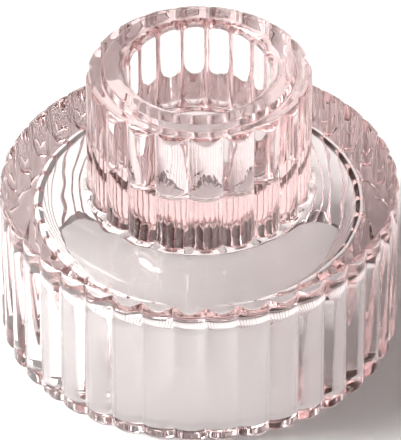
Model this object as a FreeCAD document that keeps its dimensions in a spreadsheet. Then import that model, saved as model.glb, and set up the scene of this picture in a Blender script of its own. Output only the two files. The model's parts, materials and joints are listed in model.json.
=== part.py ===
import FreeCAD, Part

import math
import os

import Sketcher

# A pressed glass candlestick of two reeded drums. The narrow drum on top is the
# socket for a taper candle. The wide drum below it is hollow underneath and
# stands on a flat ring.
#
# Frame: +Z up along the axis of both drums, millimetres, origin at the centre
# of the ring that the candlestick stands on.

DIMENSIONS = {
    # Wide drum
    "base_radius": 32.0,
    "base_reeds": 39,
    "base_reed_depth": 0.95,
    "shoulder_height": 26.7,
    "shoulder_round": 1.2,
    "foot_round": 0.3,
    # Hollow under the wide drum
    "hollow_mouth_radius": 27.6,
    "hollow_mouth_round": 0.8,
    "hollow_top_radius": 26.5,
    "hollow_top_round": 3.0,
    "web_thickness": 5.4,
    # Ring at the foot of the narrow drum
    "collar_radius": 21.3,
    "collar_rise": 0.5,
    # Narrow drum
    "neck_radius": 17.9,
    "neck_reeds": 20,
    "neck_reed_depth": 1.1,
    "neck_round": 1.4,
    "neck_turn": 1.615,
    "rim_height": 50.1,
    # Raised ring at the mouth
    "rim_top_radius": 15.0,
    "rim_foot_radius": 15.4,
    "rim_rise": 1.1,
    # Candle bore
    "bore_radius": 11.25,
    "bore_mouth_round": 1.8,
    "bore_depth": 16.9,
    "bore_floor_round": 2.0,
}

# How far a cutting outline reaches past the solid that it cuts
CLEAR = 1.0


class Size:
    """A length together with the spreadsheet expression that gives it."""

    def __init__(self, value, text=None):
        self.value = value
        self.text = str(value) if text is None else text

    def joined(self, sign, other, value):
        return Size(value, f"({self.text} {sign} {other.text})")

    def __add__(self, other):
        other = as_size(other)
        return self.joined("+", other, self.value + other.value)

    def __sub__(self, other):
        other = as_size(other)
        return self.joined("-", other, self.value - other.value)

    def __mul__(self, other):
        other = as_size(other)
        return self.joined("*", other, self.value * other.value)

    def __truediv__(self, other):
        other = as_size(other)
        return self.joined("/", other, self.value / other.value)


def as_size(number):
    return number if isinstance(number, Size) else Size(number)


def write_sheet(doc):
    """Put the driving dimensions in a spreadsheet and give each a Size."""
    sheet = doc.addObject("Spreadsheet::Sheet", "Dimensions")
    sizes = {}
    for row, (name, value) in enumerate(DIMENSIONS.items(), start=1):
        sheet.set(f"A{row}", name)
        sheet.set(f"B{row}", str(value))
        sheet.setAlias(f"B{row}", name)
        sizes[name] = Size(value, f"Dimensions.{name}")
    doc.recompute()
    return sizes


def new_sketch(body, name, plane):
    """A sketch on one of the body's own origin planes."""
    sketch = body.newObject("Sketcher::SketchObject", name)
    planes = {item.Role: item for item in body.Origin.OriginFeatures}
    sketch.AttachmentSupport = [(planes[plane], "")]
    sketch.MapMode = "FlatFace"
    return sketch


def bind(sketch, constraint, name, size):
    """Add a named constraint and drive it from the spreadsheet."""
    index = sketch.addConstraint(constraint)
    sketch.renameConstraint(index, name)
    sketch.setExpression(f"Constraints.{name}", size.text)


def pin_point(sketch, edge, end, name, across, up):
    """Hold one end of an edge at a distance across and up from the origin."""
    origin_x, origin_y = -1, -2
    if across.value:
        bind(sketch, Sketcher.Constraint("DistanceX", -1, 1, edge, end, across.value), f"{name}_x", across)
    else:
        sketch.addConstraint(Sketcher.Constraint("PointOnObject", edge, end, origin_y))
    if up.value:
        bind(sketch, Sketcher.Constraint("DistanceY", -1, 1, edge, end, up.value), f"{name}_y", up)
    else:
        sketch.addConstraint(Sketcher.Constraint("PointOnObject", edge, end, origin_x))


def arc_through(start, end, radius, left):
    """The short arc from start to end whose centre lies left or right of the chord."""
    chord = end - start
    rise = math.sqrt(radius ** 2 - (chord.Length / 2) ** 2)
    side = FreeCAD.Vector(-chord.y, chord.x, 0) / chord.Length
    centre = (start + end) / 2 + side * (rise if left else -rise)
    bulge = (start + end) / 2 - centre
    middle = centre + bulge / bulge.Length * radius
    return Part.Arc(start, middle, end)


def draw_outline(sketch, corners):
    """Draw a closed outline of lines and arcs.

    Each corner is (name, across, up) or (name, across, up, radius, left), where
    radius and left shape the arc that runs from this corner to the next one.
    """
    points = [FreeCAD.Vector(corner[1].value, corner[2].value, 0) for corner in corners]
    for index, corner in enumerate(corners):
        start = points[index]
        end = points[(index + 1) % len(points)]
        if len(corner) == 3:
            sketch.addGeometry(Part.LineSegment(start, end), False)
        else:
            sketch.addGeometry(arc_through(start, end, corner[3].value, corner[4]), False)
    for index, corner in enumerate(corners):
        start_end, _ = ends_of(sketch, index, points[index])
        _, previous_end = ends_of(sketch, index - 1, points[index - 1])
        previous = (index - 1) % len(corners)
        sketch.addConstraint(Sketcher.Constraint("Coincident", previous, previous_end, index, start_end))
        pin_point(sketch, index, start_end, corner[0], corner[1], corner[2])
        if len(corner) > 3:
            bind(sketch, Sketcher.Constraint("Radius", index, corner[3].value), f"{corner[0]}_radius", corner[3])


def ends_of(sketch, index, start):
    """Which end of an edge, 1 or 2, is its start on the outline, and which its end."""
    edge = index % len(sketch.Geometry)
    reversed_edge = sketch.getPoint(edge, 1).distanceToPoint(start) > 1e-6
    return (2, 1) if reversed_edge else (1, 2)


def turn(body, feature, name, corners):
    """Revolve an outline about Z, as a Revolution that adds or a Groove that cuts."""
    sketch = new_sketch(body, f"{name}_outline", "XZ_Plane")
    draw_outline(sketch, corners)
    body.Document.recompute()
    turned = body.newObject(f"PartDesign::{feature}", name)
    turned.Profile = sketch
    turned.ReferenceAxis = (sketch, ["V_Axis"])
    turned.Angle = 360
    body.Document.recompute()
    return turned


def reeded_drum(body, radius, depth, reeds, height):
    """A drum whose wall is a ring of convex reeds that meet in sharp valleys.

    Each reed is an upright round rod. Its own radius is such that rods side by
    side touch the drum's radius and cross the given depth inside it.
    """
    valley = radius - depth
    half_pitch = math.radians(180 / reeds.value)
    cosine = Size(math.cos(half_pitch), f"cos(180deg / {reeds.text})")
    rod_centre = (radius * radius - valley * valley) / ((radius - valley * cosine) * 2)

    core_sketch = new_sketch(body, "core_circle", "XY_Plane")
    core_sketch.addGeometry(Part.Circle(FreeCAD.Vector(0, 0, 0), FreeCAD.Vector(0, 0, 1), rod_centre.value))
    core_sketch.addConstraint(Sketcher.Constraint("Coincident", 0, 3, -1, 1))
    bind(core_sketch, Sketcher.Constraint("Radius", 0, rod_centre.value), "core_radius", rod_centre)
    core = body.newObject("PartDesign::Pad", "core")
    core.Profile = core_sketch
    core.setExpression("Length", height.text)

    rod_sketch = new_sketch(body, "reed_circle", "XY_Plane")
    centre = FreeCAD.Vector(0, -rod_centre.value, 0)
    rod_radius = radius - rod_centre
    rod_sketch.addGeometry(Part.Circle(centre, FreeCAD.Vector(0, 0, 1), rod_radius.value))
    rod_sketch.addConstraint(Sketcher.Constraint("PointOnObject", 0, 3, -2))
    bind(rod_sketch, Sketcher.Constraint("DistanceY", 0, 3, -1, 1, rod_centre.value), "reed_centre", rod_centre)
    bind(rod_sketch, Sketcher.Constraint("Radius", 0, rod_radius.value), "reed_radius", rod_radius)
    body.Document.recompute()
    rod = body.newObject("PartDesign::Pad", "reed")
    rod.Profile = rod_sketch
    rod.setExpression("Length", height.text)
    body.Document.recompute()

    ring = body.newObject("PartDesign::PolarPattern", "reed_ring")
    ring.Originals = [rod]
    ring.Axis = (rod_sketch, ["N_Axis"])
    ring.Angle = 360
    ring.setExpression("Occurrences", reeds.text)
    body.Tip = ring
    body.Document.recompute()


def turn_about_axis(body, angle):
    """Turn a drum about Z, away from having the middle of a reed at -Y."""
    body.Placement.Rotation = FreeCAD.Rotation(FreeCAD.Vector(0, 0, 1), 0)
    body.setExpression("Placement.Rotation.Angle", angle)


def outer_round(radius, round_radius, height, name):
    """The ring-shaped corner cut away to round the top outer edge of a drum."""
    outside = radius + CLEAR
    return [
        (f"{name}_inner", radius - round_radius, height, round_radius, False),
        (f"{name}_outer", radius, height - round_radius),
        (f"{name}_side", outside, height - round_radius),
        (f"{name}_corner", outside, height + CLEAR),
        (f"{name}_above", radius - round_radius, height + CLEAR),
    ]


def base_skirt(doc, size):
    """The wide drum's reeded wall: a ring that stands on its flat lower edge."""
    body = doc.addObject("PartDesign::Body", "base_skirt")
    radius = size["base_radius"]
    height = size["shoulder_height"]
    reeded_drum(body, radius, size["base_reed_depth"], size["base_reeds"], height)
    turn(body, "Groove", "shoulder_rounding", outer_round(radius, size["shoulder_round"], height, "edge"))

    nothing = Size(0)
    foot_round = size["foot_round"]
    turn(body, "Groove", "foot_rounding", [
        ("foot_outer", radius, foot_round, foot_round, False),
        ("foot_inner", radius - foot_round, nothing),
        ("foot_below", radius - foot_round, nothing - CLEAR),
        ("foot_corner", radius + CLEAR, nothing - CLEAR),
        ("foot_side", radius + CLEAR, foot_round),
    ])

    mouth = size["hollow_mouth_radius"]
    mouth_round = size["hollow_mouth_round"]
    top_round = size["hollow_top_round"]
    ceiling = height - size["web_thickness"]
    web_radius = size["hollow_top_radius"] - top_round
    turn(body, "Groove", "hollow", [
        ("axis_foot", nothing, nothing),
        ("mouth_edge", mouth + mouth_round, nothing, mouth_round, False),
        ("mouth_wall", mouth, mouth_round),
        ("top_wall", size["hollow_top_radius"], ceiling - top_round, top_round, True),
        ("top_ceiling", web_radius, ceiling),
        ("web_edge", web_radius, height),
        ("axis_top", nothing, height),
    ])
    turn_about_axis(body, f"180deg / {size['base_reeds'].text}")
    return body


def shoulder_web(doc, size):
    """The disc that closes the top of the wide drum and carries the narrow one.

    Its top has a shallow cove that sweeps up to the foot of the narrow drum.
    """
    body = doc.addObject("PartDesign::Body", "shoulder_web")
    nothing = Size(0)
    radius = size["hollow_top_radius"] - size["hollow_top_round"]
    top = size["web_thickness"]
    rise = size["collar_rise"]
    width = size["collar_radius"] - size["neck_radius"]
    cove_radius = (width * width + rise * rise) / (rise * 2)
    turn(body, "Revolution", "web", [
        ("underside", nothing, nothing),
        ("edge_foot", radius, nothing),
        ("edge_top", radius, top),
        ("cove_foot", size["collar_radius"], top, cove_radius, False),
        ("cove_top", size["neck_radius"], top + rise),
        ("seat", nothing, top + rise),
    ])
    body.setExpression("Placement.Base.z", (size["shoulder_height"] - top).text)
    return body


def candle_socket(doc, size):
    """The narrow reeded drum with the smooth bore that holds a taper candle."""
    body = doc.addObject("PartDesign::Body", "candle_socket")
    radius = size["neck_radius"]
    foot = size["shoulder_height"] + size["collar_rise"]
    height = size["rim_height"] - foot
    reeded_drum(body, radius, size["neck_reed_depth"], size["neck_reeds"], height)

    round_radius = size["neck_round"]
    land = height - size["rim_rise"]
    turn(body, "Groove", "rim_ring", [
        ("ring_top", size["rim_top_radius"], height),
        ("ring_foot", size["rim_foot_radius"], land),
        ("land_edge", radius - round_radius, land, round_radius, False),
        ("wall_top", radius, land - round_radius),
        ("wall_side", radius + CLEAR, land - round_radius),
        ("above_side", radius + CLEAR, height + CLEAR),
        ("above_ring", size["rim_top_radius"], height + CLEAR),
    ])

    nothing = Size(0)
    bore = size["bore_radius"]
    mouth_round = size["bore_mouth_round"]
    floor_round = size["bore_floor_round"]
    floor = height - size["bore_depth"]
    turn(body, "Groove", "candle_bore", [
        ("floor_centre", nothing, floor),
        ("floor_edge", bore - floor_round, floor, floor_round, True),
        ("wall_foot", bore, floor + floor_round),
        ("wall_head", bore, height - mouth_round, mouth_round, False),
        ("mouth_edge", bore + mouth_round, height),
        ("mouth_above", bore + mouth_round, height + CLEAR),
        ("axis_above", nothing, height + CLEAR),
    ])
    body.setExpression("Placement.Base.z", foot.text)
    turn_about_axis(body, f"{size['neck_turn'].text} * 1deg")
    return body


def check(doc, bodies):
    """Stop if any object failed or any sub-part isn't one valid solid."""
    for item in doc.Objects:
        if "Invalid" in item.State or "Error" in item.State:
            raise RuntimeError(f"{item.Label} failed: {item.State}")
    for body in bodies:
        shape = body.Shape
        if shape.isNull() or not shape.isValid() or len(shape.Solids) != 1:
            raise RuntimeError(f"{body.Label} isn't one valid solid")


def main():
    doc = FreeCAD.newDocument("candlestick")
    size = write_sheet(doc)
    bodies = [base_skirt(doc, size), shoulder_web(doc, size), candle_socket(doc, size)]
    doc.recompute()
    check(doc, bodies)
    os.makedirs("parts", exist_ok=True)
    for body in bodies:
        body.Shape.exportStep(f"parts/{body.Label}.step")
        box = body.Shape.BoundBox
        print(f"{body.Label}: volume {body.Shape.Volume:.1f}, z {box.ZMin:.2f} to {box.ZMax:.2f}")


main()
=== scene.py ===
import json
import math

import bpy
import numpy as np
from mathutils import Matrix, Vector


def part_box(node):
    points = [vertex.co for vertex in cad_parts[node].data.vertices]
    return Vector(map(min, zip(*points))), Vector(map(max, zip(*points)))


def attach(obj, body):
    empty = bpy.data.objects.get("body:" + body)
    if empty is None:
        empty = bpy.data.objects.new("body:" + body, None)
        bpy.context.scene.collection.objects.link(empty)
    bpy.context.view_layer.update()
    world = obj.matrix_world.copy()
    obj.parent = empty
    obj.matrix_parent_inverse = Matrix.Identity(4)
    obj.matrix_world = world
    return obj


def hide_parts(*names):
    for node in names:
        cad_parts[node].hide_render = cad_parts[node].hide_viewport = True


# A pressed glass candlestick: one continuous piece of pale rose glass that stands for the CAD
# nodes candle_socket, shoulder_web and base_skirt. Its surface is one outline turned about Z,
# from the middle of the hollow underneath, round the foot, up the outside and down into the
# candle bore, with the reeds pressed into the two upright walls.

MM = 0.001
COLUMNS = 780  # steps round the axis: 20 to a reed of the base and 39 to a reed of the neck

# Sizes that the frame's boxes and mounts don't give, in millimetres
BASE_RADIUS = 32.0
BASE_REEDS = 39
BASE_REED_DEPTH = 0.95
NECK_RADIUS = 17.9
NECK_REEDS = 20
NECK_REED_DEPTH = 1.1
NECK_TURN = math.radians(1.615)
VALLEY_SOFTNESS = 0.1
EDGE_SOFTNESS = 0.06
SHOULDER_ROUND = 1.2
FOOT_ROUND = 0.3
HOLLOW_MOUTH_RADIUS = 27.6
HOLLOW_MOUTH_ROUND = 0.8
HOLLOW_TOP_ROUND = 3.0
COLLAR_RADIUS = 21.3
COLLAR_RISE = 0.5
NECK_ROUND = 1.4
NECK_FOOT_FILLET = 0.3
RIM_TOP_RADIUS = 15.0
RIM_FOOT_RADIUS = 15.4
RIM_RISE = 1.1
RIM_EDGE_ROUND = 0.15
CREASE = 0.05  # how far apart the rows stand on the two sides of a sharp corner
BORE_FLOOR_ROUND = 2.0

# Slight unevenness of the pressed surface
WAVE_DEPTH = 0.05
WAVE_LENGTHS = (13.0, 9.1, 6.3)
WAVE_COUNT_RADIUS = 25.0  # where a wave round the axis has its stated length
WAVE_SWAY = 2.2  # how far, in radians, the waves sway sideways along the outline
WAVE_STRETCH = 1.7  # how much longer a sway is than its wave
WAVE_SHIFT = 1.3  # from each wave to the next, in radians, so that they don't line up
FADE_HEIGHT = 2.0  # the waves grow from nothing to full between the table and this height
FADE_RADIUS = 10.0  # and between the axis and this radius

# The camera's place round the candlestick
CAMERA_AZIMUTH = math.radians(-1.9)
CAMERA_ELEVATION = math.radians(39.1)
CAMERA_ROLL = math.radians(-0.1)
CAMERA_DISTANCE = 0.974
CAMERA_LENS = 498.0
CAMERA_TARGET = Vector((0.0002, 0.0, 0.0189))


def soft_min(a, b, softness):
    """The smaller of a and b, with the corner between them rounded off."""
    blend = np.maximum(softness - np.abs(a - b), 0) / softness
    return np.minimum(a, b) - blend * blend * softness / 4


def reeded_radius(angles, radius, depth, reeds, turn):
    """The wall's radius all round: upright rods side by side, softened where they meet."""
    pitch = 2 * math.pi / reeds
    valley = radius - depth
    rod_centre = (radius ** 2 - valley ** 2) / (2 * (radius - valley * math.cos(pitch / 2)))
    rod_radius = radius - rod_centre
    off_rod = np.mod(angles - turn + pitch / 2, pitch) - pitch / 2

    def rod(offset):
        inside = rod_radius ** 2 - (rod_centre * np.sin(offset)) ** 2
        return rod_centre * np.cos(offset) + np.sqrt(np.maximum(inside, 0))

    beside = pitch - np.abs(off_rod)
    return -soft_min(-rod(off_rod), -rod(beside), VALLEY_SOFTNESS)


def arc(centre_r, centre_z, radius, start, end, steps):
    """Points on a round of the outline, with both ends."""
    angles = np.radians(np.linspace(start, end, steps + 1))
    return [(centre_r + radius * math.cos(a), centre_z + radius * math.sin(a)) for a in angles]


def line(start, end, steps):
    """Points on a straight run of the outline, without its ends."""
    shares = np.linspace(0, 1, steps + 1)[1:-1]
    return [(start[0] + (end[0] - start[0]) * s, start[1] + (end[1] - start[1]) * s) for s in shares]


def outline():
    """The turned outline as rows of (radius, height, wall), where wall says which reeds limit it."""
    base_high = Vector(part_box("base_skirt")[1]) / MM
    web_low, web_high = (Vector(corner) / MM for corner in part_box("shoulder_web"))
    neck_low, neck_high = (Vector(corner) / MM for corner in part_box("candle_socket"))
    bore = next(mount for mount in frame["record"]["mounts"] if mount["name"] == "candle_bore")
    bore_radius = bore["dims"]["r_mm"]
    bore_top = bore["pos_m"][2] / MM + bore["dims"]["length_mm"] / 2
    bore_foot = bore_top - bore["dims"]["length_mm"]

    shoulder = base_high.z
    ceiling = web_low.z
    web_radius = web_high.x
    hollow_top = web_radius + HOLLOW_TOP_ROUND
    neck_foot = neck_low.z
    rim = neck_high.z
    land = rim - RIM_RISE
    mouth_round = rim - bore_top
    floor_radius = bore_radius - BORE_FLOOR_ROUND
    bore_floor = bore_foot - BORE_FLOOR_ROUND

    rows = []

    def add(points, wall=None):
        rows.extend((r, z, wall) for r, z in points)

    add(line((0, ceiling), (web_radius, ceiling), 6))
    add(arc(web_radius, ceiling - HOLLOW_TOP_ROUND, HOLLOW_TOP_ROUND, 90, 0, 16))
    wall_foot = (HOLLOW_MOUTH_RADIUS, HOLLOW_MOUTH_ROUND)
    add(line((hollow_top, ceiling - HOLLOW_TOP_ROUND), wall_foot, 12))
    add(arc(HOLLOW_MOUTH_RADIUS + HOLLOW_MOUTH_ROUND, HOLLOW_MOUTH_ROUND, HOLLOW_MOUTH_ROUND, 180, 270, 6))
    add(line((HOLLOW_MOUTH_RADIUS + HOLLOW_MOUTH_ROUND, 0), (BASE_RADIUS - FOOT_ROUND, 0), 4))
    add(arc(BASE_RADIUS - FOOT_ROUND, FOOT_ROUND, FOOT_ROUND, -90, 0, 5), "base")
    edge = shoulder - SHOULDER_ROUND
    add(line((BASE_RADIUS, FOOT_ROUND), (BASE_RADIUS, edge), 16), "base")
    add(arc(BASE_RADIUS - SHOULDER_ROUND, edge, SHOULDER_ROUND, 0, 90, 24), "base")
    add(line((BASE_RADIUS - SHOULDER_ROUND, shoulder), (COLLAR_RADIUS, shoulder), 16))

    cove_width = COLLAR_RADIUS - NECK_RADIUS
    cove_radius = (cove_width ** 2 + COLLAR_RISE ** 2) / (2 * COLLAR_RISE)
    cove_end = -90 - math.degrees(math.asin((cove_width - NECK_FOOT_FILLET - CREASE) / cove_radius))
    add(arc(COLLAR_RADIUS, shoulder + cove_radius, cove_radius, -90, cove_end, 8))
    foot = arc(NECK_FOOT_FILLET, neck_foot + NECK_FOOT_FILLET, NECK_FOOT_FILLET, -90, -180, 4)
    add(foot, "neck_foot")
    neck_top = land - NECK_ROUND
    add(line((NECK_RADIUS, neck_foot + NECK_FOOT_FILLET), (NECK_RADIUS, neck_top), 14), "neck")
    add(arc(NECK_RADIUS - NECK_ROUND, neck_top, NECK_ROUND, 0, 90, 22), "neck")
    add(line((NECK_RADIUS - NECK_ROUND, land), (RIM_FOOT_RADIUS, land), 4))
    ring_foot = (RIM_FOOT_RADIUS, land + CREASE)
    ring_edge = (RIM_TOP_RADIUS, rim - RIM_EDGE_ROUND)
    add([(RIM_FOOT_RADIUS + CREASE, land + CREASE / 5), ring_foot])
    add(line(ring_foot, ring_edge, 4))
    add(arc(RIM_TOP_RADIUS - RIM_EDGE_ROUND, rim - RIM_EDGE_ROUND, RIM_EDGE_ROUND, 20, 90, 4))
    add(line((RIM_TOP_RADIUS - RIM_EDGE_ROUND, rim), (bore_radius + mouth_round, rim), 5))
    add(arc(bore_radius + mouth_round, bore_top, mouth_round, 90, 180, 12))
    add(line((bore_radius, bore_top), (bore_radius, bore_foot), 12))
    add(arc(floor_radius, bore_foot, BORE_FLOOR_ROUND, 0, -90, 10))
    add(line((floor_radius, bore_floor), (0, bore_floor), 5))
    return rows, ceiling, bore_floor


def inward_normals(rows):
    """The direction into the glass at each row of the outline, as (radius, height)."""
    across = np.gradient([row[0] for row in rows])
    up = np.gradient([row[1] for row in rows])
    length = np.hypot(across, up)
    return np.stack([-up / length, across / length], axis=1)


def unevenness(angles, rows):
    """How far each vertex is pressed in: gentle waves round the glass and along the outline.

    The flat ring that the candlestick stands on and the middle of each floor stay true.
    """
    radii = np.array([row[0] for row in rows])
    heights = np.array([row[1] for row in rows])
    run = np.concatenate([[0], np.cumsum(np.hypot(np.diff(radii), np.diff(heights)))])
    waves = np.zeros((len(rows), len(angles)))
    for index, length in enumerate(WAVE_LENGTHS):
        count = round(2 * math.pi * WAVE_COUNT_RADIUS / length)
        sway = WAVE_SWAY * np.sin(2 * math.pi * run / (length * WAVE_STRETCH) + index)[:, None]
        waves += np.sin(count * angles[None, :] + sway + WAVE_SHIFT * index) / len(WAVE_LENGTHS)
    above_foot = np.clip(heights / FADE_HEIGHT, 0, 1)[:, None]
    off_axis = np.clip(radii / FADE_RADIUS, 0, 1)[:, None]
    return WAVE_DEPTH * (1 + waves) / 2 * above_foot * off_axis


def turned_glass():
    """The whole glass body as one closed mesh."""
    rows, ceiling, bore_floor = outline()
    front = -math.pi / 2
    angles = np.arange(COLUMNS) * 2 * math.pi / COLUMNS + front
    base_turn = front + math.pi / BASE_REEDS
    neck_turn = front + NECK_TURN
    walls = {
        "base": reeded_radius(angles, BASE_RADIUS, BASE_REED_DEPTH, BASE_REEDS, base_turn),
        "neck": reeded_radius(angles, NECK_RADIUS, NECK_REED_DEPTH, NECK_REEDS, neck_turn),
    }
    pressed = unevenness(angles, rows)
    inward = inward_normals(rows)
    vertices = [(0.0, 0.0, ceiling)]
    for index, (r, z, wall) in enumerate(rows):
        if wall == "neck_foot":
            radii = walls["neck"] + r
        elif wall:
            radii = soft_min(np.full(COLUMNS, r), walls[wall], EDGE_SOFTNESS)
        else:
            radii = np.full(COLUMNS, r)
        radii = radii + inward[index, 0] * pressed[index]
        heights = z + inward[index, 1] * pressed[index]
        vertices.extend(zip(radii * np.cos(angles), radii * np.sin(angles), heights))
    vertices.append((0.0, 0.0, bore_floor))

    last = len(vertices) - 1

    def ring(row, column):
        return 1 + row * COLUMNS + column % COLUMNS

    faces = [(0, ring(0, c + 1), ring(0, c)) for c in range(COLUMNS)]
    for row in range(len(rows) - 1):
        faces.extend(
            (ring(row, c), ring(row, c + 1), ring(row + 1, c + 1), ring(row + 1, c)) for c in range(COLUMNS)
        )
    faces.extend((ring(len(rows) - 1, c), ring(len(rows) - 1, c + 1), last) for c in range(COLUMNS))

    mesh = bpy.data.meshes.new("candlestick_glass")
    mesh.from_pydata([tuple(np.array(v) * MM) for v in vertices], [], faces)
    mesh.validate()
    mesh.polygons.foreach_set("use_smooth", [True] * len(mesh.polygons))
    piece = bpy.data.objects.new("candlestick_glass", mesh)
    bpy.context.collection.objects.link(piece)
    return piece


def rose_glass():
    """Clear glass with a faintly rippled skin, tinted right through so that thick glass is deeper."""
    material = bpy.data.materials.new("rose_glass")
    material.use_nodes = True
    nodes = material.node_tree.nodes
    links = material.node_tree.links
    shader = nodes["Principled BSDF"]
    shader.inputs["Base Color"].default_value = (1.0, 1.0, 1.0, 1.0)
    shader.inputs["Roughness"].default_value = 0.0
    shader.inputs["IOR"].default_value = 1.5
    shader.inputs["Transmission Weight"].default_value = 1.0
    tint = nodes.new("ShaderNodeVolumeAbsorption")
    tint.inputs["Color"].default_value = (0.78, 0.44, 0.43, 1.0)
    tint.inputs["Density"].default_value = 16.0
    links.new(tint.outputs["Volume"], nodes["Material Output"].inputs["Volume"])
    where = nodes.new("ShaderNodeTexCoord")
    ripple = nodes.new("ShaderNodeTexNoise")
    ripple.inputs["Scale"].default_value = 260.0
    ripple.inputs["Detail"].default_value = 2.0
    links.new(where.outputs["Object"], ripple.inputs["Vector"])
    skin = nodes.new("ShaderNodeBump")
    skin.inputs["Strength"].default_value = 0.25
    skin.inputs["Distance"].default_value = 0.00004
    links.new(ripple.outputs["Fac"], skin.inputs["Height"])
    links.new(skin.outputs["Normal"], shader.inputs["Normal"])
    return material


def pale_floor():
    """A plain pale table top, far larger than the view."""
    mesh = bpy.data.meshes.new("floor")
    half = 1.5
    low = -0.0002  # just under the foot ring, so that the two surfaces never coincide
    mesh.from_pydata(
        [(-half, -half, low), (half, -half, low), (half, half, low), (-half, half, low)], [], [(0, 1, 2, 3)]
    )
    floor = bpy.data.objects.new("floor", mesh)
    bpy.context.collection.objects.link(floor)
    material = bpy.data.materials.new("pale_floor")
    material.use_nodes = True
    nodes = material.node_tree.nodes
    links = material.node_tree.links
    shader = nodes["Principled BSDF"]
    mottle = nodes.new("ShaderNodeTexNoise")
    mottle.inputs["Scale"].default_value = 40.0
    mottle.inputs["Detail"].default_value = 3.0
    where = nodes.new("ShaderNodeTexCoord")
    links.new(where.outputs["Object"], mottle.inputs["Vector"])
    shade = nodes.new("ShaderNodeValToRGB")
    shade.color_ramp.elements[0].color = (0.89, 0.88, 0.87, 1.0)
    shade.color_ramp.elements[1].color = (0.93, 0.92, 0.91, 1.0)
    links.new(mottle.outputs["Fac"], shade.inputs["Fac"])
    links.new(shade.outputs["Color"], shader.inputs["Base Color"])
    shader.inputs["Roughness"].default_value = 0.7
    shader.inputs["Emission Color"].default_value = (1.0, 0.99, 0.98, 1.0)
    shader.inputs["Emission Strength"].default_value = 0.1
    mesh.materials.append(material)


def softbox(name, place, target, width, height, power):
    """A rectangular soft light that faces the target."""
    light = bpy.data.lights.new(name, "AREA")
    light.shape = "RECTANGLE"
    light.size = width
    light.size_y = height
    light.energy = power
    lamp = bpy.data.objects.new(name, light)
    lamp.location = place
    lamp.rotation_euler = (Vector(target) - Vector(place)).to_track_quat("-Z", "Y").to_euler()
    lamp.visible_camera = False
    bpy.context.collection.objects.link(lamp)


def studio():
    """A broad light far out on the left and a small one high on the left, in a dim warm room."""
    world = bpy.data.worlds.new("room")
    world.use_nodes = True
    nodes = world.node_tree.nodes
    links = world.node_tree.links
    where = nodes.new("ShaderNodeTexCoord")
    along = nodes.new("ShaderNodeVectorMath")
    along.operation = "DOT_PRODUCT"
    along.inputs[1].default_value = Vector((-0.8, 0.6, 0.0))
    links.new(where.outputs["Generated"], along.inputs[0])
    ramp = nodes.new("ShaderNodeValToRGB")
    ramp.color_ramp.interpolation = "EASE"
    ramp.color_ramp.elements[0].position = 0.0
    ramp.color_ramp.elements[0].color = (0.045, 0.018, 0.014, 1.0)
    ramp.color_ramp.elements[1].position = 1.0
    ramp.color_ramp.elements[1].color = (0.36, 0.35, 0.34, 1.0)
    links.new(along.outputs["Value"], ramp.inputs["Fac"])
    links.new(ramp.outputs["Color"], nodes["Background"].inputs["Color"])
    bpy.context.scene.world = world
    softbox("left_light", (-1.5, 0.0, 0.58), (0, 0, 0.02), 1.3, 0.8, 16)
    softbox("top_light", (-0.24, 0.03, 0.34), (0, 0, 0.02), 0.18, 0.18, 2.3)


def camera():
    """A long lens from the front, looking down on the shoulder and into the bore."""
    data = bpy.data.cameras.new("camera")
    data.lens = CAMERA_LENS
    data.sensor_width = 36.0
    data.clip_end = 20.0
    view = bpy.data.objects.new("camera", data)
    direction = Vector((
        math.sin(CAMERA_AZIMUTH) * math.cos(CAMERA_ELEVATION),
        -math.cos(CAMERA_AZIMUTH) * math.cos(CAMERA_ELEVATION),
        math.sin(CAMERA_ELEVATION),
    ))
    place = CAMERA_TARGET + direction * CAMERA_DISTANCE
    look = (-direction).to_track_quat("-Z", "Y").to_matrix().to_4x4()
    view.matrix_world = Matrix.Translation(place) @ look @ Matrix.Rotation(CAMERA_ROLL, 4, "Z")
    bpy.context.collection.objects.link(view)
    bpy.context.scene.camera = view


def render_settings():
    scene = bpy.context.scene
    scene.view_settings.view_transform = "Standard"
    scene.cycles.max_bounces = 24
    scene.cycles.transmission_bounces = 24
    scene.cycles.glossy_bounces = 16
    scene.cycles.volume_bounces = 0
    scene.cycles.use_denoising = True


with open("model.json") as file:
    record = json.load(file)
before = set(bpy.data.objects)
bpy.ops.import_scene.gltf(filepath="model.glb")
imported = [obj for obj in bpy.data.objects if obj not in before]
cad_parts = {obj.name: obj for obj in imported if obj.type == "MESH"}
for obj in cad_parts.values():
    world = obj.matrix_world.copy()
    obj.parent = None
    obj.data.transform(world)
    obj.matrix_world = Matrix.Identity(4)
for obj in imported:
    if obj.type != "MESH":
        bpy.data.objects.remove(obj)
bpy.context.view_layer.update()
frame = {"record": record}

glass = turned_glass()
glass.data.materials.append(rose_glass())
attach(glass, "root")
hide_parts("candle_socket", "shoulder_web", "base_skirt")

pale_floor()
studio()
camera()
render_settings()
